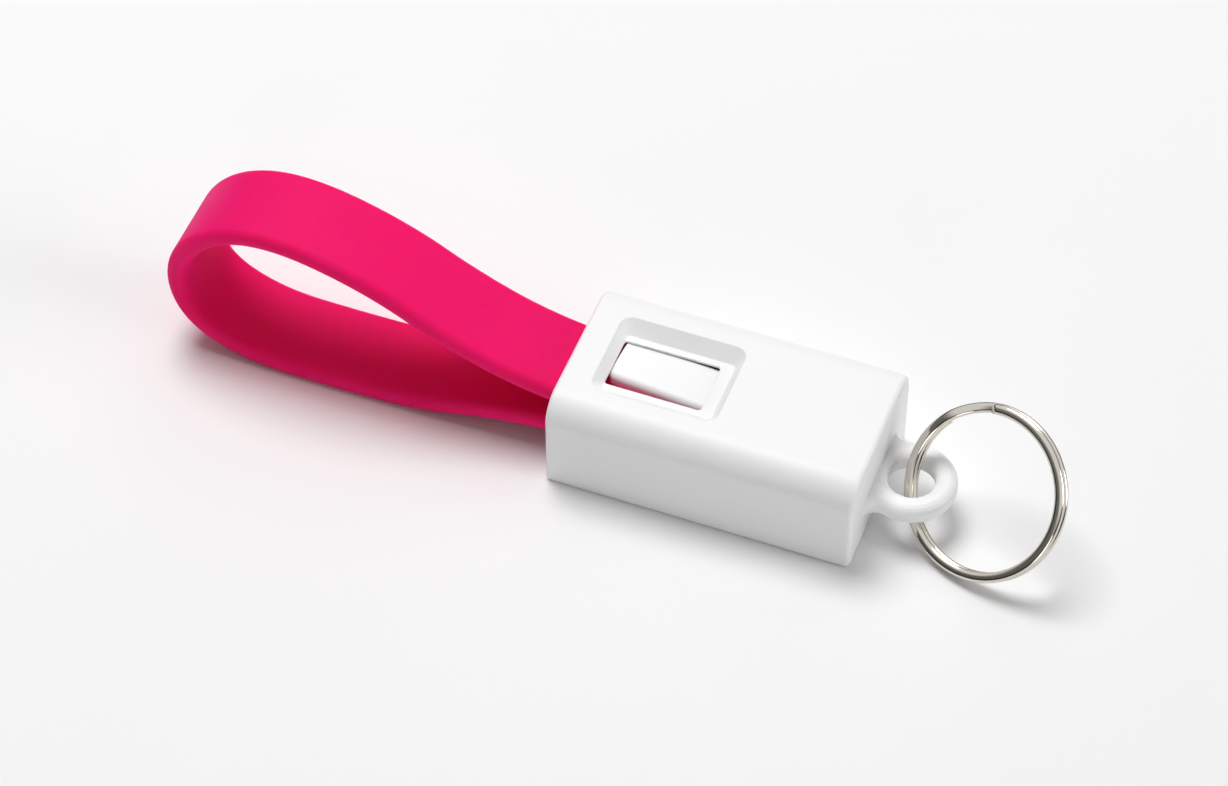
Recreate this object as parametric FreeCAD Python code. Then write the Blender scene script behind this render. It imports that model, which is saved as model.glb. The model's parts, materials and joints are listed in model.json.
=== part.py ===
import FreeCAD, Part
import math
import os

# Keyring charging cable: a white moulded sleeve holds both plug heads of a short flat strap,
# and a split ring hangs in the sleeve's eyelet. Millimetres, +Z up, the closed end of the sleeve
# towards +X, its open mouth towards -X, and the origin at the middle of the sleeve's underside.

V = FreeCAD.Vector

# Clearances
slide_gap = 0.35  # head or strap beside a guide rib
bay_gap = 0.25  # wide head above the sleeve's floor
head_gap = 0.3  # between the two stacked heads
roof_gap = 0.15  # phone head under the roof
tip_gap = 0.3  # wide plug's tip to the end wall
mould_gap = 0.03  # moulded or pressed seat
groove_gap = 0.02  # contact strip in its groove

# Flat strap; the route is its middle line: distance inside the mouth, height above the table
strap_width = 13.4
strap_thickness = 3.0
strap_edge = 1.0  # bevel along the strap's corners
strap_route = [(20.5, 9.9), (8.0, 9.95), (-5.2, 11.5), (-16.6, 15.7), (-29.1, 22.85), (-43.8, 26.65),
               (-54.1, 23.6), (-60.05, 15.05), (-58.2, 5.6), (-48.8, 1.6), (-35.5, 1.56), (-21.6, 1.62),
               (-11.6, 3.9), (-0.5, 4.75), (11.0, 4.82), (21.8, 4.75)]
arc_share = 0.45  # share of the shorter run that an arc takes at each point

# Wide head, in the lower bay
wide_grip_from_mouth = 18.0
wide_grip_length = 13.0
wide_grip_width = 15.8
wide_grip_thickness = 5.8
wide_grip_corner = 2.4
wide_grip_edge = 0.8  # bevel round the top and bottom
grip_groove_count = 3
grip_groove_width = 0.9
grip_groove_depth = 0.35
grip_groove_pitch = 2.2
grip_groove_length = 9.0
wide_plug_reach = 12.0
wide_shell_width = 12.0
wide_shell_height = 4.5
wide_shell_wall = 0.3
wide_shell_corner = 0.6
wide_shell_seat = 6.0  # length held in the grip
catch_hole_length = 2.0
catch_hole_width = 2.5
catch_hole_spacing = 5.4
catch_hole_from_tip = 6.2
wide_tongue_thickness = 1.95
wide_tongue_setback = 0.5  # from the shell's tip
wide_tongue_base = 7.0
wide_contact_width = 1.0
wide_contact_thickness = 0.3
wide_contact_places = [(-3.5, 1.0), (-1.0, 2.0), (1.0, 2.0), (3.5, 1.0)]  # across, back from the tip
wide_contact_tail = 1.5  # behind the shell, in the core
wide_core_length = 2.4
wide_core_width = 11.0
wide_core_height = 4.1

# Phone head, in the upper bay; it lies a little skewed, as loose heads do
phone_grip_from_mouth = 5.7
phone_grip_length = 19.5
phone_grip_width = 8.0
phone_grip_thickness = 5.65
phone_grip_top_edge = 1.1
phone_grip_edge = 0.5  # bevel on the upright corners
phone_yaw = -5.5
phone_side_shift = 0.95
phone_plug_reach = 6.7
phone_shell_width = 6.85
phone_shell_height = 1.85
phone_shell_wall = 0.25
phone_shell_bevel = 0.7
phone_shell_corner = 0.3
phone_shell_seat = 3.2
phone_tongue_width = 5.6
phone_tongue_thickness = 0.5
phone_tongue_setback = 0.4
phone_contact_count = 5
phone_contact_pitch = 0.65
phone_contact_width = 0.3
phone_contact_thickness = 0.15
phone_contact_setback = 0.6
phone_contact_tail = 0.8
phone_core_length = 1.1
phone_core_width = 6.2
phone_core_height = 2.6
latch_width = 0.5
latch_thickness = 0.2
latch_spacing = 3.5
latch_from_tip = 3.0
latch_nose_length = 1.4
latch_nose_height = 0.3  # proud of the shell
latch_slot_gap = 0.1

# Sleeve; its length and height follow from the heads that it holds
sleeve_width = 25.5
side_wall = 1.8
roof_wall = 2.2
floor_wall = 1.6
end_wall = 2.0
shoulder_radius = 4.0
sole_radius = 0.5
end_edge_radius = 0.8
mouth_edge = 0.3  # bevel round the open end
guide_rib = 1.4
guide_rib_setback = 2.5
floor_rib_height = 3.4
roof_rib_depth = 5.0
window_from_mouth = 4.35
window_length = 18.8
window_width = 14.4
window_corner = 1.9
window_slope = 1.25  # run of the two sloped ends
window_side_slope = 1.9
window_ledge = 0.3  # roof left round the hatch
hatch_length = 14.4
hatch_width = 8.5
hatch_corner = 0.5

# Holder magnet: a bar on the floor, under the wide plug's steel shell
magnet_length = 10.0
magnet_width = 6.0
magnet_edge = 0.2
magnet_from_end = 0.6  # clear of the end wall
magnet_gap = 0.2  # under the shell that it holds
magnet_rib = 0.8
magnet_rib_height = 0.5

# Eyelet lug on the closed end
lug_diameter = 13.0
lug_hole = 6.8
lug_thickness = 3.4
lug_reach = 4.6  # end face to the hole's centre
lug_height = 6.4  # middle of the lug above the table
lug_flare = 2.0
lug_edge = 1.35  # rounding of its rims and of the hole's rims

# Split ring: two flat turns joined by one step
ring_diameter = 25.0
ring_band = 1.5  # radial
ring_turn = 1.0  # along the ring's axis
ring_turn_gap = 0.06
ring_edge = 0.3  # bevel along the wire's corners
ring_heading = -24.0
ring_lean = 38.0
ring_table_gap = 0.05
ring_step_angle = 227.0
ring_step_span = 34.0
ring_end_gap = 2.0  # degrees between a wire end and the step

# Places worked out from the sizes above
wide_tip_from_mouth = wide_grip_from_mouth + wide_grip_length + wide_plug_reach
sleeve_length = wide_tip_from_mouth + tip_gap + end_wall
mouth_x = -sleeve_length / 2
end_x = sleeve_length / 2
inner_end_x = end_x - end_wall
wide_middle = floor_wall + bay_gap + wide_grip_thickness / 2
magnet_top = wide_middle - wide_shell_height / 2 - magnet_gap
phone_bottom = floor_wall + bay_gap + wide_grip_thickness + head_gap
phone_middle = phone_bottom + phone_grip_thickness / 2
roof_z = phone_bottom + phone_grip_thickness + roof_gap
sleeve_height = roof_z + roof_wall
wide_grip_x = mouth_x + wide_grip_from_mouth
wide_front_x = wide_grip_x + wide_grip_length
wide_tip_x = wide_front_x + wide_plug_reach
wide_shell_x = wide_front_x - wide_shell_seat
phone_grip_x = mouth_x + phone_grip_from_mouth
phone_front_x = phone_grip_x + phone_grip_length
phone_tip_x = phone_front_x + phone_plug_reach
phone_shell_x = phone_front_x - phone_shell_seat
lug_x = end_x + lug_reach
fuse_depth = 0.4  # ribs and lug run this far into the wall that carries them


def box(x0, x1, y0, y1, z0, z1):
    return Part.makeBox(x1 - x0, y1 - y0, z1 - z0, V(x0, y0, z0))


def edges_along(shape, axis):
    found = []
    for edge in shape.Edges:
        if isinstance(edge.Curve, Part.Line) and abs(edge.tangentAt(edge.FirstParameter).dot(axis)) > 0.999:
            found.append(edge)
    return found


def edges_in_plane(shape, axis, place):
    tolerance = 1e-4
    found = []
    for edge in shape.Edges:
        ends = [edge.valueAt(edge.FirstParameter), edge.valueAt(edge.LastParameter)]
        ends.append(edge.valueAt((edge.FirstParameter + edge.LastParameter) / 2))
        if all(abs(point.dot(axis) - place) < tolerance for point in ends):
            found.append(edge)
    return found


def rounded_rectangle(width, height, radius):
    # wire about the origin in the XY plane
    w, h, r = width / 2, height / 2, radius
    bend = r * (1 - math.sqrt(0.5))
    edges = []
    corners = [(w, h, 1, 1), (-w, h, -1, 1), (-w, -h, -1, -1), (w, -h, 1, -1)]
    joints = []
    for x, y, sx, sy in corners:
        along_x, along_y = V(x - sx * r, y, 0), V(x, y - sy * r, 0)
        first, last = (along_y, along_x) if sx * sy > 0 else (along_x, along_y)
        joints.append((first, last))
        edges.append(Part.Arc(first, V(x - sx * bend, y - sy * bend, 0), last).toShape())
    for i in range(4):
        edges.append(Part.LineSegment(joints[i][1], joints[(i + 1) % 4][0]).toShape())
    return Part.Wire(Part.__sortEdges__(edges))


def bevelled_rectangle(width, height, bevel):
    # wire about the origin in the XY plane
    w, h, b = width / 2, height / 2, bevel
    corners = [V(w, b - h, 0), V(w, h - b, 0), V(w - b, h, 0), V(b - w, h, 0), V(-w, h - b, 0),
               V(-w, b - h, 0), V(b - w, -h, 0), V(w - b, -h, 0)]
    return Part.makePolygon(corners + corners[:1])


def along_x(wire, x, z, length):
    # a wire of the XY plane, stood upright across X (its Y becomes Z) and extruded along +X
    upright = wire.copy()
    upright.rotate(V(0, 0, 0), V(1, 1, 1), 120)
    upright.translate(V(x, 0, z))
    return Part.Face(upright).extrude(V(length, 0, 0))


def sleeve_shell():
    half, top = sleeve_width / 2, sleeve_height
    outer = box(mouth_x, end_x, -half, half, 0, top)
    long_edges = edges_along(outer, V(1, 0, 0))
    outer = outer.makeFillet(shoulder_radius, [e for e in long_edges if e.CenterOfMass.z > top / 2])
    long_edges = edges_along(outer, V(1, 0, 0))
    outer = outer.makeFillet(sole_radius, [e for e in long_edges if e.CenterOfMass.z < sole_radius])
    outer = outer.makeFillet(end_edge_radius, edges_in_plane(outer, V(1, 0, 0), end_x))
    outer = outer.makeChamfer(mouth_edge, edges_in_plane(outer, V(1, 0, 0), mouth_x))
    inner_half = half - side_wall
    cavity = box(mouth_x - end_wall, inner_end_x, -inner_half, inner_half, floor_wall, roof_z)
    roof_edges = [e for e in edges_along(cavity, V(1, 0, 0)) if e.CenterOfMass.z > roof_z - side_wall]
    cavity = cavity.makeFillet(shoulder_radius - side_wall, roof_edges)
    return outer.cut(cavity)


def guide_ribs():
    # long ribs that steer each head, and two low ones that hold the magnet
    ribs = []
    start = mouth_x + guide_rib_setback
    stop = inner_end_x + fuse_depth
    wide_side = wide_grip_width / 2 + slide_gap
    strap_side = strap_width / 2 + slide_gap
    magnet_side = magnet_width / 2 + mould_gap
    magnet_start = inner_end_x - magnet_from_end - magnet_length
    floor, floor_sunk, roof_sunk = floor_wall, floor_wall - fuse_depth, roof_z + fuse_depth
    ribs.append((start, wide_side, guide_rib, floor_sunk, floor + floor_rib_height))
    ribs.append((start, strap_side, guide_rib, roof_z - roof_rib_depth, roof_sunk))
    ribs.append((magnet_start, magnet_side, magnet_rib, floor_sunk, floor + magnet_rib_height))
    solids = []
    for x, side, thickness, low, high in ribs:
        solids.append(box(x, stop, side, side + thickness, low, high))
        solids.append(box(x, stop, -side - thickness, -side, low, high))
    return solids


def window_cutter():
    # a recess with sloped sides, and the hatch through its floor at the end near the mouth
    x = mouth_x + window_from_mouth + window_length / 2
    upper = rounded_rectangle(window_length, window_width, window_corner)
    upper.translate(V(x, 0, sleeve_height))
    floor_length, floor_width = window_length - 2 * window_slope, window_width - 2 * window_side_slope
    lower = rounded_rectangle(floor_length, floor_width, window_corner - window_slope)
    lower.translate(V(x, 0, roof_z + window_ledge))
    hatch = rounded_rectangle(hatch_length, hatch_width, hatch_corner)
    hatch.translate(V(x - (floor_length - hatch_length) / 2, 0, roof_z - fuse_depth))
    opening = Part.Face(hatch).extrude(V(0, 0, roof_wall + fuse_depth))
    return opening.fuse(Part.makeLoft([lower, upper], True, True))


def round_rims(shape, z):
    return [e for e in edges_in_plane(shape, V(0, 0, 1), z) if isinstance(e.Curve, Part.Circle)]


def ease_rims(body, low, high, radius):
    # rounds the rims of a flat body in steps: a 45 degree bevel, then a finer one along each of its edges
    wide, fine = radius * (2 - math.sqrt(2)), radius * (math.tan(math.pi / 8) - math.tan(math.pi / 16))
    body = body.makeChamfer(wide, round_rims(body, low) + round_rims(body, high))
    edges = []
    for z in (low, low + wide, high - wide, high):
        edges += round_rims(body, z)
    return body.makeChamfer(fine, edges)


def lug():
    # plan outline: a round eye that flares into the end face; then its hole, and all rims rounded
    radius, flare = lug_diameter / 2, lug_flare
    flare_y = math.sqrt((radius + flare) ** 2 - (lug_reach - flare) ** 2)
    touch_x = lug_x + radius * (flare - lug_reach) / (radius + flare)
    touch_y = radius * flare_y / (radius + flare)
    low = lug_height - lug_thickness / 2

    def bend(side):
        centre = V(end_x + flare, side * flare_y, low)
        foot, touch = V(end_x, side * flare_y, low), V(touch_x, side * touch_y, low)
        way = (foot + touch) * 0.5 - centre
        return Part.Arc(foot, centre + way.normalize() * flare, touch).toShape()

    nose = V(lug_x + radius, 0, low)
    eye = Part.Arc(V(touch_x, touch_y, low), nose, V(touch_x, -touch_y, low)).toShape()
    sunk_x = end_x - (lug_edge + end_wall) / 2
    tail = Part.makePolygon([V(end_x, -flare_y, low), V(sunk_x, -flare_y, low), V(sunk_x, flare_y, low),
                             V(end_x, flare_y, low)])
    outline = Part.Wire(Part.__sortEdges__([bend(1), eye, bend(-1)] + tail.Edges))
    body = Part.Face(outline).extrude(V(0, 0, lug_thickness))
    body = body.cut(Part.makeCylinder(lug_hole / 2, lug_thickness, V(lug_x, 0, low)))
    return ease_rims(body, low, low + lug_thickness, lug_edge)


def sleeve():
    shell = sleeve_shell().multiFuse(guide_ribs() + [lug()])
    return shell.cut(window_cutter()).removeSplitter()


def holder_magnet():
    x = inner_end_x - magnet_from_end - magnet_length
    half = magnet_width / 2
    bar = box(x, x + magnet_length, -half, half, floor_wall, magnet_top)
    return bar.makeChamfer(magnet_edge, edges_in_plane(bar, V(0, 0, 1), magnet_top))


def route_wire(points):
    # straight runs joined by tangent arcs, each as large as its two runs allow
    edges, start = [], points[0]
    radii = []
    for before, here, after in zip(points, points[1:], points[2:]):
        back, on = before - here, after - here
        trim = arc_share * min(back.Length, on.Length)
        back.normalize()
        on.normalize()
        half_turn = (math.pi - back.getAngle(on)) / 2
        radius = trim / math.tan(half_turn)
        inward = (back + on).normalize()
        middle = here + inward * (radius / math.cos(half_turn) - radius)
        arc_start, arc_end = here + back * trim, here + on * trim
        edges.append(Part.LineSegment(start, arc_start).toShape())
        edges.append(Part.Arc(arc_start, middle, arc_end).toShape())
        radii.append(round(radius, 1))
        start = arc_end
    edges.append(Part.LineSegment(start, points[-1]).toShape())
    return Part.Wire(edges), radii


def strap(margin=0.0):
    # the flat strap, or with a margin the room that a moulding leaves for it
    points = [V(mouth_x + x, 0, z) for x, z in strap_route]
    path, radii = route_wire(points)
    section = bevelled_rectangle(strap_width + 2 * margin, strap_thickness + 2 * margin, strap_edge)
    section.rotate(V(0, 0, 0), V(1, 1, 1), 120)
    turn = math.degrees(math.atan2(points[0].z - points[1].z, points[0].x - points[1].x))
    section.rotate(V(0, 0, 0), V(0, 1, 0), -turn)
    section.translate(points[0])
    sweep = Part.BRepOffsetAPI.MakePipeShell(path)
    sweep.setBiNormalMode(V(0, 1, 0))
    sweep.add(section)
    sweep.build()
    sweep.makeSolid()
    solid = Part.Solid(sweep.shape())
    if margin == 0:
        area = Part.Face(section).Area
        print("strap radii", radii, "length", round(path.Length, 1))
        print("strap volume", round(solid.Volume, 1), "section times length", round(area * path.Length, 1))
    return solid


def wide_shell_body(margin=0.0):
    section = rounded_rectangle(wide_shell_width + 2 * margin, wide_shell_height + 2 * margin,
                                wide_shell_corner + margin)
    return along_x(section, wide_shell_x, wide_middle, wide_tip_x - wide_shell_x)


def wide_shell():
    inner_width = wide_shell_width - 2 * wide_shell_wall
    inner_height = wide_shell_height - 2 * wide_shell_wall
    bore = rounded_rectangle(inner_width, inner_height, wide_shell_corner - wide_shell_wall)
    shell = wide_shell_body().cut(along_x(bore, wide_shell_x, wide_middle, wide_tip_x - wide_shell_x))
    x = wide_tip_x - catch_hole_from_tip - catch_hole_length / 2
    half = catch_hole_width / 2
    for y in (-catch_hole_spacing / 2, catch_hole_spacing / 2):
        hole = box(x, x + catch_hole_length, y - half, y + half,
                   wide_middle - wide_shell_height, wide_middle + wide_shell_height)
        shell = shell.cut(hole)
    return shell


def wide_tongue_top():
    return wide_middle - wide_shell_height / 2 + wide_shell_wall + wide_tongue_thickness


def wide_contact(number, margin=0.0):
    # a stamped strip let into the top of the tongue, with its tail in the core behind
    y, setback = wide_contact_places[number]
    half = wide_contact_width / 2 + margin
    top = wide_tongue_top()
    front = wide_tip_x - wide_tongue_setback - setback
    return box(wide_shell_x - wide_contact_tail - margin, front + margin, y - half, y + half,
               top - wide_contact_thickness - margin, top + margin)


def wide_tongue():
    low = wide_middle - wide_shell_height / 2 + wide_shell_wall
    half = wide_shell_width / 2 - wide_shell_wall - mould_gap
    corner = wide_shell_corner - wide_shell_wall
    tongue = box(wide_shell_x, wide_tip_x - wide_tongue_setback, -half, half, low + mould_gap,
                 wide_tongue_top())
    base_top = wide_middle + wide_shell_height / 2 - wide_shell_wall - mould_gap
    base = box(wide_shell_x, wide_shell_x + wide_tongue_base, -half, half, low + mould_gap, base_top)
    tongue = tongue.fuse(base).removeSplitter()
    outer = [e for e in edges_along(tongue, V(1, 0, 0)) if abs(abs(e.CenterOfMass.y) - half) < 1e-4
             and abs(e.CenterOfMass.z - wide_tongue_top()) > corner]
    tongue = tongue.makeFillet(corner, outer)
    for number in range(len(wide_contact_places)):
        tongue = tongue.cut(wide_contact(number, groove_gap))
    return tongue


def wide_core(margin=0.0):
    # inner moulding behind the shell, round the contacts' tails
    half, high = wide_core_width / 2 + margin, wide_core_height / 2 + margin
    core = box(wide_shell_x - wide_core_length - margin, wide_shell_x, -half, half,
               wide_middle - high, wide_middle + high)
    if margin == 0:
        for number in range(len(wide_contact_places)):
            core = core.cut(wide_contact(number, groove_gap))
    return core


def wide_grip():
    half, high = wide_grip_width / 2, wide_grip_thickness / 2
    grip = box(wide_grip_x, wide_front_x, -half, half, wide_middle - high, wide_middle + high)
    rear = [e for e in edges_along(grip, V(0, 0, 1)) if e.CenterOfMass.x < wide_grip_x + wide_grip_corner]
    grip = grip.makeFillet(wide_grip_corner, rear)
    grip = grip.makeChamfer(wide_grip_edge, edges_in_plane(grip, V(0, 0, 1), wide_middle + high)
                            + edges_in_plane(grip, V(0, 0, 1), wide_middle - high))
    first = wide_grip_x + wide_grip_length / 2 - grip_groove_pitch * (grip_groove_count - 1) / 2
    for i in range(grip_groove_count):
        x = first + i * grip_groove_pitch
        for z in (wide_middle + high - grip_groove_depth, wide_middle - high - grip_groove_depth):
            groove = box(x - grip_groove_width / 2, x + grip_groove_width / 2, -grip_groove_length / 2,
                         grip_groove_length / 2, z, z + 2 * grip_groove_depth)
            grip = grip.cut(groove)
    return grip.cut(wide_shell_body(mould_gap)).cut(wide_core(mould_gap)).cut(strap(mould_gap))


def skewed(shape):
    # the phone head's pieces turn together about the middle of their grip
    shape.rotate(V(phone_grip_x + phone_grip_length / 2, 0, 0), V(0, 0, 1), phone_yaw)
    shape.translate(V(0, phone_side_shift, 0))
    return shape


def phone_section(inset):
    # wide at the top, with its two lower corners bevelled
    half, high = phone_shell_width / 2 - inset, phone_shell_height / 2 - inset
    cut = phone_shell_bevel - inset * (2 - math.sqrt(2))
    return Part.makePolygon([V(half, high, 0), V(-half, high, 0), V(-half, cut - high, 0),
                             V(cut - half, -high, 0), V(half - cut, -high, 0), V(half, cut - high, 0),
                             V(half, high, 0)])


def phone_shell_body(margin=0.0):
    return along_x(phone_section(-margin), phone_shell_x, phone_middle, phone_tip_x - phone_shell_x)


def phone_shell():
    outer = phone_shell_body()
    upper = phone_middle + phone_shell_height / 4
    corners = [e for e in edges_along(outer, V(1, 0, 0)) if e.CenterOfMass.z > upper]
    outer = outer.makeFillet(phone_shell_corner, corners)
    length = phone_tip_x - phone_shell_x
    shell = outer.cut(along_x(phone_section(phone_shell_wall), phone_shell_x, phone_middle, length))
    for side in (-1, 1):
        shell = shell.cut(latch_slot(side))
    return skewed(shell)


def latch_slot(side):
    half = latch_width / 2 + latch_slot_gap
    y = side * latch_spacing / 2
    x = phone_tip_x - latch_from_tip - latch_nose_length - latch_slot_gap
    bottom = phone_middle - phone_shell_height
    return box(x, x + latch_nose_length + 2 * latch_slot_gap, y - half, y + half, bottom, phone_middle)


def phone_latch(side):
    # a springy strip along the shell's floor; its ramped nose stands out through the shell's slot
    floor = phone_middle - phone_shell_height / 2 + phone_shell_wall + groove_gap
    nose_end = phone_tip_x - latch_from_tip
    nose_start = nose_end - latch_nose_length
    nose_low = phone_middle - phone_shell_height / 2 - latch_nose_height
    y = side * latch_spacing / 2 - latch_width / 2
    outline = [(phone_shell_x, floor), (nose_start, floor), (nose_start + latch_thickness, nose_low),
               (nose_end - latch_nose_length / 2, nose_low), (nose_end, floor),
               (nose_end, floor + latch_thickness), (phone_shell_x, floor + latch_thickness),
               (phone_shell_x, floor)]
    face = Part.Face(Part.makePolygon([V(x, y, z) for x, z in outline]))
    return skewed(face.extrude(V(0, latch_width, 0)))


def phone_tongue_bottom():
    roof = phone_middle + phone_shell_height / 2 - phone_shell_wall
    return roof - phone_tongue_thickness


def phone_contact_body(number, margin=0.0):
    # a fine strip let into the underside of the tongue
    y = (number - (phone_contact_count - 1) / 2) * phone_contact_pitch
    half = phone_contact_width / 2 + margin
    low = phone_tongue_bottom()
    front = phone_tip_x - phone_tongue_setback - phone_contact_setback
    return box(phone_shell_x - phone_contact_tail - margin, front + margin, y - half, y + half,
               low - margin, low + phone_contact_thickness + margin)


def phone_contact(number):
    return skewed(phone_contact_body(number))


def phone_tongue():
    low, half = phone_tongue_bottom(), phone_tongue_width / 2
    tongue = box(phone_shell_x, phone_tip_x - phone_tongue_setback, -half, half, low,
                 low + phone_tongue_thickness - groove_gap)
    for number in range(phone_contact_count):
        tongue = tongue.cut(phone_contact_body(number, groove_gap))
    return skewed(tongue)


def phone_core_body(margin=0.0):
    half, high = phone_core_width / 2 + margin, phone_core_height / 2 + margin
    return box(phone_shell_x - phone_core_length - margin, phone_shell_x, -half, half,
               phone_middle - high, phone_middle + high)


def phone_core():
    core = phone_core_body()
    for number in range(phone_contact_count):
        core = core.cut(phone_contact_body(number, groove_gap))
    return skewed(core)


def phone_grip():
    # a plain hard block moulded over the strap's end; the wider strap shows along both its sides
    half, top = phone_grip_width / 2, phone_bottom + phone_grip_thickness
    grip = box(phone_grip_x, phone_front_x, -half, half, phone_bottom, top)
    grip = grip.makeChamfer(phone_grip_edge, edges_along(grip, V(0, 0, 1)))
    long_top = [e for e in edges_along(grip, V(1, 0, 0)) if e.CenterOfMass.z > top - phone_grip_edge / 2]
    grip = grip.makeFillet(phone_grip_top_edge, long_top)
    grip = grip.cut(phone_shell_body(mould_gap)).cut(phone_core_body(mould_gap))
    return skewed(grip).cut(strap(mould_gap))


def split_ring():
    # two flat turns: the wire starts on the front turn, steps back once and ends on the rear turn
    middle = ring_diameter / 2 - ring_band / 2
    level = (ring_turn + ring_turn_gap) / 2
    step_start = ring_step_angle - ring_step_span / 2
    step_end = ring_step_angle + ring_step_span / 2

    def on_turn(angle, z):
        turn = math.radians(angle)
        return V(middle * math.cos(turn), middle * math.sin(turn), z)

    def turn_arc(first, last, z):
        return Part.Arc(on_turn(first, z), on_turn((first + last) / 2, z), on_turn(last, z)).toShape()

    front_start = step_end + ring_end_gap - 360
    rear_end = step_start - ring_end_gap + 360
    lead = middle * math.radians(ring_step_span) / 3
    lead_in = on_turn(step_start, -level) + tangent_of(step_start) * lead
    lead_out = on_turn(step_end, level) - tangent_of(step_end) * lead
    step = Part.BezierCurve()
    step.setPoles([on_turn(step_start, -level), lead_in, lead_out, on_turn(step_end, level)])
    path = Part.Wire([turn_arc(front_start, (front_start + step_start) / 2, -level),
                      turn_arc((front_start + step_start) / 2, step_start, -level), step.toShape(),
                      turn_arc(step_end, (step_end + rear_end) / 2, level),
                      turn_arc((step_end + rear_end) / 2, rear_end, level)])
    section = bevelled_rectangle(ring_band, ring_turn, ring_edge)
    section.rotate(V(0, 0, 0), V(1, 0, 0), 90)
    section.rotate(V(0, 0, 0), V(0, 0, 1), front_start)
    section.translate(on_turn(front_start, -level))
    sweep = Part.BRepOffsetAPI.MakePipeShell(path)
    sweep.setBiNormalMode(V(0, 0, 1))
    sweep.add(section)
    sweep.build()
    sweep.makeSolid()
    return placed_ring(Part.Solid(sweep.shape()))


def tangent_of(angle):
    turn = math.radians(angle)
    return V(-math.sin(turn), math.cos(turn), 0)


def placed_ring(ring):
    # the ring leans with its lowest edge on the table and its wire through the eyelet's hole
    lean, heading = math.radians(ring_lean), math.radians(ring_heading)
    middle = ring_diameter / 2 - ring_band / 2
    depth = ring_turn + ring_turn_gap / 2
    centre_z = ring_diameter / 2 * math.cos(lean) + depth * math.sin(lean) + ring_table_gap
    outward = V(math.cos(heading), math.sin(heading), 0)
    upward = V(-math.sin(heading) * math.sin(lean), math.cos(heading) * math.sin(lean), math.cos(lean))
    rise = (lug_height - centre_z) / (middle * math.cos(lean))
    wire = (outward * -math.sqrt(1 - rise * rise) + upward * rise) * middle
    centre = V(lug_x - wire.x, -wire.y, centre_z)
    ring.rotate(V(0, 0, 0), V(1, 0, 0), -90 - ring_lean)
    ring.rotate(V(0, 0, 0), V(0, 0, 1), ring_heading)
    ring.translate(centre)
    return ring


def all_parts():
    parts = {"sleeve": sleeve(), "holder_magnet": holder_magnet(), "split_ring": split_ring(),
             "cable_loop": strap(), "wide_plug_grip": wide_grip(), "wide_plug_shell": wide_shell(),
             "wide_plug_tongue": wide_tongue(), "wide_plug_core": wide_core(),
             "phone_plug_grip": phone_grip(), "phone_plug_shell": phone_shell(),
             "phone_plug_tongue": phone_tongue(), "phone_plug_core": phone_core(),
             "phone_plug_latch_near": phone_latch(-1), "phone_plug_latch_far": phone_latch(1)}
    for number in range(len(wide_contact_places)):
        parts["wide_plug_contact_%d" % (number + 1)] = wide_contact(number)
    for number in range(phone_contact_count):
        parts["phone_plug_contact_%d" % (number + 1)] = phone_contact(number)
    return parts


os.makedirs("parts", exist_ok=True)
for name, shape in all_parts().items():
    print(name, "solids", len(shape.Solids), "valid", shape.isValid(), "volume", round(shape.Volume, 2))
    shape.exportStep("parts/%s.step" % name)
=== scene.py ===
import json
import math
import bmesh
import bpy
from mathutils import Matrix, Vector


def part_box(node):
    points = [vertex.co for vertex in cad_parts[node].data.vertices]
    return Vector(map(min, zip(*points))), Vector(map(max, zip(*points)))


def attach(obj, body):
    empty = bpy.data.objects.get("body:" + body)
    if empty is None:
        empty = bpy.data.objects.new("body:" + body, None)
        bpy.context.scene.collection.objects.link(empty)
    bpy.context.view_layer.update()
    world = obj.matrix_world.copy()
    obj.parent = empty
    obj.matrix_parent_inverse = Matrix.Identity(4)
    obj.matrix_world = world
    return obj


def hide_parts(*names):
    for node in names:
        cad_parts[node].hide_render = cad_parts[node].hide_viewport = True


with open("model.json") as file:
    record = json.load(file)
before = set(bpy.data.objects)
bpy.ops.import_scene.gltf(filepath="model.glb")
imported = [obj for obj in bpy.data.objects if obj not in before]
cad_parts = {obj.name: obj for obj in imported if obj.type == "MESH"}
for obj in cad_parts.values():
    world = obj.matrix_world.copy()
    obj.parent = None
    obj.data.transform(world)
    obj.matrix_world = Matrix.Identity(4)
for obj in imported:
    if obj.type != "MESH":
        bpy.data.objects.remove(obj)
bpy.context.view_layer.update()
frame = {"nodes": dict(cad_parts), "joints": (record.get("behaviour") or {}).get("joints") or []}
mm = 0.001


class Wire:
    # a socket in a node tree: arithmetic on it adds Math nodes
    def __init__(self, tree, socket=None):
        self.tree = tree
        self.socket = socket

    def add(self, kind, settings=None, sockets=None, out=0):
        node = self.tree.nodes.new(kind)
        for name, value in (settings or {}).items():
            if name == "stops":
                self.setStops(node.color_ramp, value)
            else:
                setattr(node, name, value)
        for name, value in (sockets or {}).items():
            if isinstance(value, Wire):
                self.tree.links.new(value.socket, node.inputs[name])
            else:
                node.inputs[name].default_value = value
        return Wire(self.tree, node.outputs[out])

    def setStops(self, ramp, stops):
        while len(ramp.elements) < len(stops):
            ramp.elements.new(1.0)
        for element, (place, level) in zip(ramp.elements, stops):
            element.position = place
            element.color = (level, level, level, 1)

    def maths(self, operation, first, second):
        return self.add("ShaderNodeMath", {"operation": operation}, {0: first, 1: second})

    def __add__(self, other):
        return self.maths("ADD", self, other)

    def __radd__(self, other):
        return self.maths("ADD", other, self)

    def __mul__(self, other):
        return self.maths("MULTIPLY", self, other)

    def __rmul__(self, other):
        return self.maths("MULTIPLY", other, self)


# finishes

def newFinish(name):
    finish = bpy.data.materials.new(name)
    finish.use_nodes = True
    shader = finish.node_tree.nodes["Principled BSDF"]
    return finish, shader, Wire(finish.node_tree)


def objectCoords(wire):
    return wire.add("ShaderNodeTexCoord", out="Object")


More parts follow.
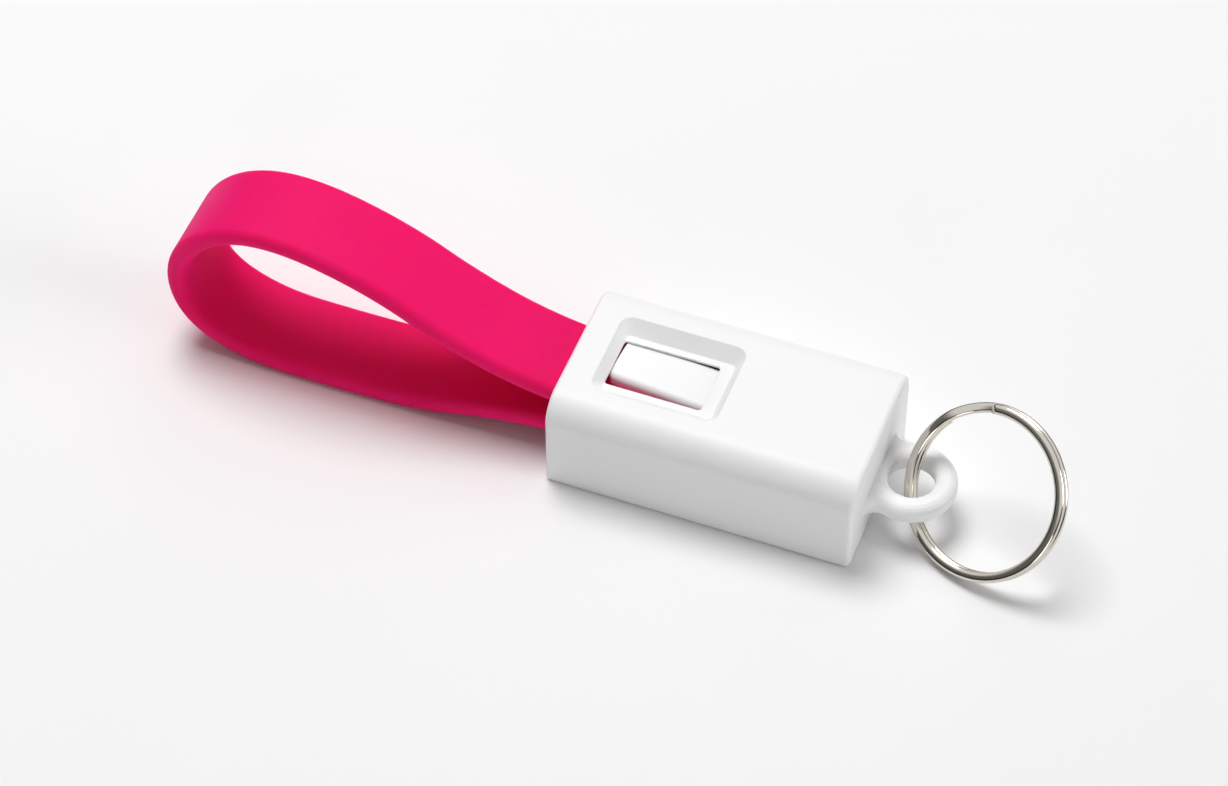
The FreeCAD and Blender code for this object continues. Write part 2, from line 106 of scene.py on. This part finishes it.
def noise(wire, coords, scale, detail=2.0, roughness=0.5):
    sockets = {"Vector": coords, "Scale": scale, "Detail": detail, "Roughness": roughness}
    return wire.add("ShaderNodeTexNoise", None, sockets)


def stretched(wire, coords, scale):
    return wire.add("ShaderNodeVectorMath", {"operation": "MULTIPLY"}, {0: coords, 1: scale})


def mixed(wire, factor, first, second):
    # sockets 6 and 7 are the colour pair of a Mix node, and output 2 its colour
    return wire.add("ShaderNodeMix", {"data_type": "RGBA"}, {0: factor, 6: first, 7: second}, out=2)


def feed(wire, shader, name):
    wire.tree.links.new(wire.socket, shader.inputs[name])


def bumped(wire, shader, height, distance, edges=None):
    sockets = {"Height": height, "Distance": distance}
    if edges:
        sockets["Normal"] = edges
    feed(wire.add("ShaderNodeBump", None, sockets), shader, "Normal")


def mouldedPlastic(name, look):
    # satin moulded plastic: faint mould texture, softened edges, and broad patches a touch glossier
    finish, shader, wire = newFinish(name)
    coords = objectCoords(wire)
    patches = noise(wire, coords, look["patchScale"], detail=3.0)
    grain = noise(wire, coords, look["grainScale"])
    feed(mixed(wire, patches, look["colour"], look["shade"]), shader, "Base Color")
    feed(patches * look["roughRange"] + look["rough"], shader, "Roughness")
    edges = wire.add("ShaderNodeBevel", {"samples": look["edgeSamples"]}, {"Radius": look["edgeSoft"]})
    bumped(wire, shader, grain + patches * look["wave"], look["depth"], edges)
    shader.inputs["IOR"].default_value = look["ior"]
    return finish


def stripedMetal(name, look):
    # plated or brushed metal: fine hair lines, stretched by the three numbers of "hairs"
    finish, shader, wire = newFinish(name)
    coords = objectCoords(wire)
    hairs = noise(wire, stretched(wire, coords, look["hairs"]), 1.0, detail=4.0, roughness=0.6)
    cloud = noise(wire, coords, look["cloudScale"])
    feed(mixed(wire, cloud, look["colour"], look["shade"]), shader, "Base Color")
    feed(hairs * look["roughRange"] + look["rough"], shader, "Roughness")
    bumped(wire, shader, hairs, look["depth"])
    shader.inputs["Metallic"].default_value = 1.0
    return finish


def strapFinish(look):
    # soft rubbery strap: matt grain, drawn lines along its length and a slight change of tone
    finish, shader, wire = newFinish("pinkStrap")
    along = wire.add("ShaderNodeUVMap", {"uv_map": "strapRun"})
    coords = objectCoords(wire)
    tone = noise(wire, coords, look["toneScale"])
    grain = noise(wire, coords, look["grainScale"])
    lines = noise(wire, stretched(wire, along, look["lines"]), 1.0)
    feed(mixed(wire, tone, look["colour"], look["shade"]), shader, "Base Color")
    feed(grain * look["roughRange"] + look["rough"], shader, "Roughness")
    bumped(wire, shader, grain * look["grainShare"] + lines, look["depth"])
    shader.inputs["Specular IOR Level"].default_value = look["specular"]
    shader.inputs["Subsurface Weight"].default_value = look["glow"]
    shader.inputs["Subsurface Radius"].default_value = look["glowRadius"]
    shader.inputs["Subsurface Scale"].default_value = look["glowDepth"]
    return finish


# studio: the camera stands where the photograph was taken from

camera = {"place": (0.1137, -0.3443, 0.4394), "back": (0.2304, -0.6063, 0.7611),
          "focalPixels": 4000.0, "imageWidth": 1228.0, "sensor": 36.0, "nearest": 0.01, "farthest": 20.0}
studio = {"floorSize": 6.0, "floorDrop": 0.02 * mm, "floorColour": (0.92, 0.92, 0.925, 1.0),
          "floorRough": 0.55, "floorRoughRange": 0.1, "floorMottle": 40.0, "floorSpecular": 0.2,
          # height of a ray and the world's level there: for the room's light, and for what metal mirrors
          "room": [(0.15, 0.0), (0.75, 0.23)],
          "mirrored": [(0.0, 0.0), (0.20, 0.0), (0.32, 0.16), (0.55, 0.85)],
          "backdrop": (0.92, 0.92, 0.925, 1.0),  # what the camera sees past the floor
          # round lamps that face the part
          "lamps": {"key": {"place": (-0.27, 0.21, 0.935), "size": 0.52, "power": 6.8},
                    "back": {"place": (-0.10, 1.50, 1.30), "size": 1.6, "power": 4.8},
                    "side": {"place": (1.80, 0.10, 0.76), "size": 1.2, "power": 12.0},
                    "front": {"place": (0.25, -2.45, 0.40), "size": 1.0, "power": 8.0}}}


def aimed(name, data, place, way):
    # a camera or lamp that stands at a place and looks along a way
    holder = bpy.data.objects.new(name, data)
    holder.location = place
    holder.rotation_mode = "QUATERNION"
    holder.rotation_quaternion = way.to_track_quat("-Z", "Y")
    bpy.context.scene.collection.objects.link(holder)
    return holder


def makeCamera():
    data = bpy.data.cameras.new("photoCamera")
    data.sensor_width = camera["sensor"]
    data.lens = camera["focalPixels"] / camera["imageWidth"] * camera["sensor"]
    data.clip_start = camera["nearest"]
    data.clip_end = camera["farthest"]
    bpy.context.scene.camera = aimed("photoCamera", data, camera["place"], -Vector(camera["back"]))


def makeLamps():
    for name, lamp in studio["lamps"].items():
        data = bpy.data.lights.new(name + "Lamp", "AREA")
        data.shape = "DISK"
        data.size = lamp["size"]
        data.energy = lamp["power"]
        aimed(name + "Lamp", data, lamp["place"], -Vector(lamp["place"]))


def makeFloor():
    finish, shader, wire = newFinish("paleFloor")
    mottle = noise(wire, objectCoords(wire), studio["floorMottle"])
    feed(mottle * studio["floorRoughRange"] + studio["floorRough"], shader, "Roughness")
    shader.inputs["Base Color"].default_value = studio["floorColour"]
    shader.inputs["Specular IOR Level"].default_value = studio["floorSpecular"]
    half = studio["floorSize"] / 2
    corners = [(-half, -half, 0), (half, -half, 0), (half, half, 0), (-half, half, 0)]
    sheet = bpy.data.meshes.new("floor")
    sheet.from_pydata(corners, [], [(0, 1, 2, 3)])
    sheet.materials.append(finish)
    floor = bpy.data.objects.new("floor", sheet)
    floor.location.z = -studio["floorDrop"]
    bpy.context.scene.collection.objects.link(floor)


def makeWorld():
    # brighter overhead than at eye level; reflections see a pale sky over a dim horizon
    world = bpy.data.worlds.new("studio")
    world.use_nodes = True
    bpy.context.scene.world = world
    wire = Wire(world.node_tree)
    shader = world.node_tree.nodes["Background"]
    way = wire.add("ShaderNodeTexCoord", out="Generated")
    height = wire.add("ShaderNodeSeparateXYZ", None, {0: way}, out="Z")
    room = wire.add("ShaderNodeValToRGB", {"stops": studio["room"]}, {0: height})
    mirrored = wire.add("ShaderNodeValToRGB", {"stops": studio["mirrored"]}, {0: height})
    glossy = wire.add("ShaderNodeLightPath", out="Is Glossy Ray")
    seen = wire.add("ShaderNodeLightPath", out="Is Camera Ray")
    feed(mixed(wire, seen, mixed(wire, glossy, room, mirrored), studio["backdrop"]), shader, "Color")


makeCamera()
makeFloor()
makeWorld()
makeLamps()
bpy.context.scene.view_settings.view_transform = "Standard"
print("camera, floor and lights set")


# shared mesh tools

uvLength = 10 * mm  # length of one unit in a swept piece's UV map


def rounded(width, height, radius, steps, flat):
    # outline of a rounded strip about the origin, anticlockwise, with points along its long sides
    points = []
    w, h = width / 2 - radius, height / 2 - radius
    for turn, (cx, cy) in enumerate([(w, h), (-w, h), (-w, -h), (w, -h)]):
        for i in range(steps + 1):
            angle = (turn + i / steps) * math.pi / 2
            points.append((cx + radius * math.cos(angle), cy + radius * math.sin(angle)))
        if turn % 2 == 0:
            side = 1 if turn == 0 else -1
            for i in range(1, flat):
                points.append((side * w * (1 - 2 * i / flat), side * height / 2))
    return points


def sweep(name, frames, outline, uvName, capShrink):
    # frames: (place, across, up) for each ring of points; both ends are closed with a softened cap
    mesh = bmesh.new()
    uvLayer = mesh.loops.layers.uv.new(uvName)
    first, last = frames[0], frames[-1]
    rings = [[p + (a * x + u * y) * s for x, y in outline]
             for (p, a, u), s in [(first, capShrink)] + [(f, 1.0) for f in frames] + [(last, capShrink)]]
    rows = [[mesh.verts.new(point) for point in ring] for ring in rings]
    places = [0.0]
    for before, after in zip(rings, rings[1:]):
        places.append(places[-1] + (after[0] - before[0]).length)
    around = [0.0]
    for (x0, y0), (x1, y1) in zip(outline, outline[1:] + outline[:1]):
        around.append(around[-1] + math.hypot(x1 - x0, y1 - y0))
    count = len(outline)
    for i in range(len(rows) - 1):
        for j in range(count):
            k = (j + 1) % count
            face = mesh.faces.new((rows[i][j], rows[i][k], rows[i + 1][k], rows[i + 1][j]))
            corners = [(i, j), (i, j + 1), (i + 1, j + 1), (i + 1, j)]
            for loop, (row, column) in zip(face.loops, corners):
                loop[uvLayer].uv = (places[row] / uvLength, around[column] / uvLength)
            face.smooth = True
    mesh.faces.new(list(reversed(rows[0])))
    mesh.faces.new(rows[-1])
    bmesh.ops.recalc_face_normals(mesh, faces=mesh.faces)
    data = bpy.data.meshes.new(name)
    mesh.to_mesh(data)
    mesh.free()
    piece = bpy.data.objects.new(name, data)
    bpy.context.scene.collection.objects.link(piece)
    return piece


# strap: the flat pink cable, swept along a smooth spline through the route's points

strap = {"width": 13.9 * mm, "thickness": 3.0 * mm, "edge": 1.3 * mm, "edgeSteps": 10, "flatSteps": 10,
         "splineSteps": 24, "capShrink": 0.94, "exitHeight": 10.6 * mm,
         # inside the mouth, across, and above the table; the lower run bows towards the near side
         "route": [(20.5, 0, 9.9), (8.0, 0, 9.95), (-5.2, -0.12, 11.5), (-16.6, -0.25, 15.7),
                   (-29.1, -0.25, 22.85), (-43.8, -0.2, 26.65), (-54.1, -0.1, 23.6), (-60.05, -0.1, 15.05),
                   (-58.2, -0.4, 5.6), (-48.8, -1.2, 1.6), (-35.5, -1.4, 1.56), (-21.6, -1.1, 1.62),
                   (-11.6, -0.6, 3.9), (-0.5, -0.1, 4.75), (11.0, 0, 4.82), (21.8, 0, 4.75)],
         "finish": {"colour": (0.84, 0.008, 0.148, 1), "shade": (0.87, 0.011, 0.163, 1), "toneScale": 60.0,
                    "grainScale": 5200.0, "rough": 0.50, "roughRange": 0.10, "lines": (0.6, 26.0, 0.0),
                    "grainShare": 0.6, "depth": 0.008 * mm, "specular": 0.05,
                    "glow": 0.9, "glowRadius": (1.0, 0.08, 0.18), "glowDepth": 1.6 * mm}}


def strapLine(mouthX):
    # the route's points are a spline's control points; its line is read back from a curve with no bevel
    curve = bpy.data.curves.new("strapLine", "CURVE")
    curve.dimensions = "3D"
    curve.resolution_u = strap["splineSteps"]
    spline = curve.splines.new("NURBS")
    spline.points.add(len(strap["route"]) - 1)
    for point, (x, y, z) in zip(spline.points, strap["route"]):
        point.co = (mouthX + x * mm, y * mm, z * mm, 1)
    spline.order_u = 3
    spline.use_endpoint_u = True
    carrier = bpy.data.objects.new("strapLine", curve)
    bpy.context.scene.collection.objects.link(carrier)
    bpy.context.view_layer.update()
    line = bpy.data.meshes.new_from_object(carrier.evaluated_get(bpy.context.evaluated_depsgraph_get()))
    points = [v.co.copy() for v in line.vertices]
    bpy.data.objects.remove(carrier)
    bpy.data.meshes.remove(line)
    return points


def makeStrap():
    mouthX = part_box("sleeve")[0].x
    points = strapLine(mouthX)
    frames = []
    for i, point in enumerate(points):
        way = (points[min(i + 1, len(points) - 1)] - points[max(i - 1, 0)]).normalized()
        up = Vector((0, 1, 0)).cross(way).normalized()
        frames.append((point, way.cross(up), up))
    outline = rounded(strap["width"], strap["thickness"], strap["edge"],
                      strap["edgeSteps"], strap["flatSteps"])
    piece = sweep("strap", frames, outline, "strapRun", strap["capShrink"])
    piece.data.materials.append(strapFinish(strap["finish"]))
    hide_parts("cable_loop")
    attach(piece, "cable")


makeStrap()


# split ring: two turns of flat wire with a step between them, leaning in the eyelet

ring = {"diameter": 25.0 * mm, "band": 1.5 * mm, "turn": 1.0 * mm, "gap": 0.06 * mm, "edge": 0.49 * mm,
        "edgeSteps": 6, "flatSteps": 3, "capShrink": 0.8,
        "heading": -24.0, "lean": 38.0, "tableGap": 0.05 * mm,
        "stepAngle": 227.0, "stepSpan": 34.0, "endGap": 2.0, "stepDegrees": 3.0,
        "finish": {"colour": (0.66, 0.62, 0.55, 1), "shade": (0.73, 0.69, 0.62, 1), "cloudScale": 220.0,
                   "hairs": (900.0, 900.0, 900.0), "rough": 0.05, "roughRange": 0.08, "depth": 0.003 * mm}}


def ringPlace(hole):
    # the ring leans with its lowest edge on the table and its wire through the eyelet's hole
    lean, heading = math.radians(ring["lean"]), math.radians(ring["heading"])
    middle = ring["diameter"] / 2 - ring["band"] / 2
    depth = ring["turn"] + ring["gap"] / 2
    centreZ = ring["diameter"] / 2 * math.cos(lean) + depth * math.sin(lean) + ring["tableGap"]
    outward = Vector((math.cos(heading), math.sin(heading), 0))
    side = Vector((-math.sin(heading), math.cos(heading), 0))
    upward = side * math.sin(lean) + Vector((0, 0, math.cos(lean)))
    rise = (hole.z - centreZ) / (middle * math.cos(lean))
    wire = (outward * -math.sqrt(1 - rise * rise) + upward * rise) * middle
    centre = Vector((hole.x - wire.x, hole.y - wire.y, centreZ))
    turn = Matrix.Rotation(heading, 4, "Z") @ Matrix.Rotation(-math.pi / 2 - lean, 4, "X")
    return Matrix.Translation(centre) @ turn


def ringLevel(angle, stepStart, stepEnd):
    # height of the wire along the ring's axis: one turn below the middle, an eased step, one turn above
    level = (ring["turn"] + ring["gap"]) / 2
    share = min(max((angle - stepStart) / (stepEnd - stepStart), 0.0), 1.0)
    return level * (2 * share * share * (3 - 2 * share) - 1)


def makeRing():
    hole = Vector(next(j for j in frame["joints"] if j["name"] == "ring_swing")["pos_m"])
    place = ringPlace(hole)
    spin = place.to_3x3()
    middle = ring["diameter"] / 2 - ring["band"] / 2
    stepStart = ring["stepAngle"] - ring["stepSpan"] / 2
    stepEnd = ring["stepAngle"] + ring["stepSpan"] / 2
    start, stop = stepEnd + ring["endGap"] - 360, stepStart - ring["endGap"] + 360
    count = round((stop - start) / ring["stepDegrees"])
    frames = []
    for i in range(count + 1):
        angle = start + (stop - start) * i / count
        turn = math.radians(angle)
        out = Vector((math.cos(turn), math.sin(turn), 0))
        point = out * middle + Vector((0, 0, ringLevel(angle, stepStart, stepEnd)))
        frames.append((place @ point, spin @ out, spin @ Vector((0, 0, 1))))
    outline = rounded(ring["band"], ring["turn"], ring["edge"], ring["edgeSteps"], ring["flatSteps"])
    piece = sweep("splitRing", frames, outline, "wireRun", ring["capShrink"])
    piece.data.materials.append(stripedMetal("ringNickel", ring["finish"]))
    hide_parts("split_ring")
    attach(piece, "ring")
    print("split ring:", count, "steps")


makeRing()


# carried-over solids: each gets its finish

whiteShell = {"colour": (0.905, 0.905, 0.91, 1), "shade": (0.89, 0.89, 0.895, 1), "patchScale": 90.0,
              "grainScale": 2600.0, "rough": 0.46, "roughRange": 0.08, "wave": 0.5, "depth": 0.004 * mm,
              "ior": 1.5, "edgeSoft": 0.22 * mm, "edgeSamples": 8}
plugSteel = {"colour": (0.60, 0.60, 0.61, 1), "shade": (0.66, 0.66, 0.67, 1), "cloudScale": 150.0,
             "hairs": (120.0, 5200.0, 5200.0), "rough": 0.22, "roughRange": 0.14, "depth": 0.004 * mm}
contactGold = {"colour": (0.83, 0.58, 0.22, 1), "shade": (0.88, 0.65, 0.30, 1), "cloudScale": 400.0,
               "hairs": (300.0, 6000.0, 6000.0), "rough": 0.16, "roughRange": 0.10, "depth": 0.002 * mm}
whitePlastic = dict(whiteShell, rough=0.52, grainScale=3400.0)


def dress(finish, *names):
    for name in names:
        node = frame["nodes"][name]
        node.data.materials.clear()
        node.data.materials.append(finish)


contacts = [name for name in frame["nodes"] if "_contact_" in name]
dress(mouldedPlastic("whiteShell", whiteShell), "sleeve")
dress(mouldedPlastic("whiteGrip", whiteShell), "wide_plug_grip", "phone_plug_grip")
dress(mouldedPlastic("whitePlastic", whitePlastic), "wide_plug_tongue", "phone_plug_tongue",
      "wide_plug_core", "phone_plug_core")
dress(stripedMetal("plugSteel", plugSteel), "wide_plug_shell", "phone_plug_shell",
      "phone_plug_latch_near", "phone_plug_latch_far", "holder_magnet")
dress(stripedMetal("contactGold", contactGold), *contacts)
print("finishes given to", len(frame["nodes"]), "nodes")
